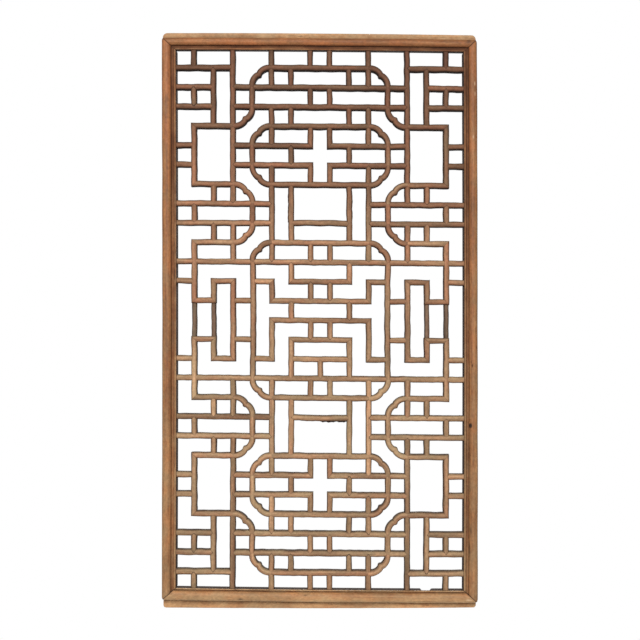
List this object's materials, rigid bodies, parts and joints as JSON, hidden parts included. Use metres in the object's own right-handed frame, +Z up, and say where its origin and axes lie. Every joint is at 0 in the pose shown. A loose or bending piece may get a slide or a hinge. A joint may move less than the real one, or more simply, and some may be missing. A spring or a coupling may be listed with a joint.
{
  "type": "wooden lattice wall panel",
  "caption": "Tall rectangular wooden lattice panel: a moulded, mitred frame filled with a symmetrical fret of thin round-faced bars and cusped curves, with a lip along its top and bottom.",
  "frame": {"origin": "middle of the flat back of the top rail, where the panel is fixed to what holds it", "axes": "+Z up, +X to the viewer's right, the moulded front faces -Y and the flat back faces +Y"},
  "size_m": [0.7164, 0.032, 1.3119],
  "materials": {
    "frame_wood": "old bare softwood, waxed orange-brown with worn, lighter edges",
    "lattice_wood": "weathered brown wood, dark and greyish towards the top, lighter tan below",
    "slat_wood": "duller grey-brown wood with little sheen"
  },
  "bodies": {
    "root": {"centre_arch": "lattice_wood", "centre_lower_step": "lattice_wood", "centre_tray": "lattice_wood", "centre_upper_step": "lattice_wood", "cloud_bar_lower": "lattice_wood", "cloud_bar_upper": "lattice_wood", "corner_lattice_lower_left": "lattice_wood", "corner_lattice_lower_right": "lattice_wood", "corner_lattice_upper_left": "lattice_wood", "corner_lattice_upper_right": "lattice_wood", "double_band_lower": "lattice_wood", "double_band_upper": "lattice_wood", "inner_post_lower_left": "lattice_wood", "inner_post_lower_right": "lattice_wood", "inner_post_upper_left": "lattice_wood", "inner_post_upper_right": "lattice_wood", "outer_post_lower_left": "lattice_wood", "outer_post_lower_right": "lattice_wood", "outer_post_upper_left": "lattice_wood", "outer_post_upper_right": "lattice_wood", "oval_bar_lower": "lattice_wood", "oval_bar_upper": "lattice_wood", "oval_end_lower_left": "lattice_wood", "oval_end_lower_right": "lattice_wood", "oval_end_upper_left": "lattice_wood", "oval_end_upper_right": "lattice_wood", "rail_bottom": "frame_wood", "rail_top": "frame_wood", "recessed_slat_inner_left": "slat_wood", "recessed_slat_inner_right": "slat_wood", "recessed_slat_outer_left": "slat_wood", "recessed_slat_outer_right": "slat_wood", "ring_bar_lower": "lattice_wood", "ring_bar_upper": "lattice_wood", "ring_side_left": "lattice_wood", "ring_side_right": "lattice_wood", "side_bracket_lower_left": "lattice_wood", "side_bracket_lower_right": "lattice_wood", "side_bracket_upper_left": "lattice_wood", "side_bracket_upper_right": "lattice_wood", "side_ladder_lower_left": "lattice_wood", "side_ladder_lower_right": "lattice_wood", "side_ladder_upper_left": "lattice_wood", "side_ladder_upper_right": "lattice_wood", "side_window_lower_left": "lattice_wood", "side_window_lower_right": "lattice_wood", "side_window_upper_left": "lattice_wood", "side_window_upper_right": "lattice_wood", "stile_left": "frame_wood", "stile_right": "frame_wood", "tall_window_left": "lattice_wood", "tall_window_right": "lattice_wood", "waist_bar_lower": "lattice_wood", "waist_bar_upper": "lattice_wood", "window_frame_lower": "lattice_wood", "window_frame_upper": "lattice_wood"}
  },
  "joints": []
}
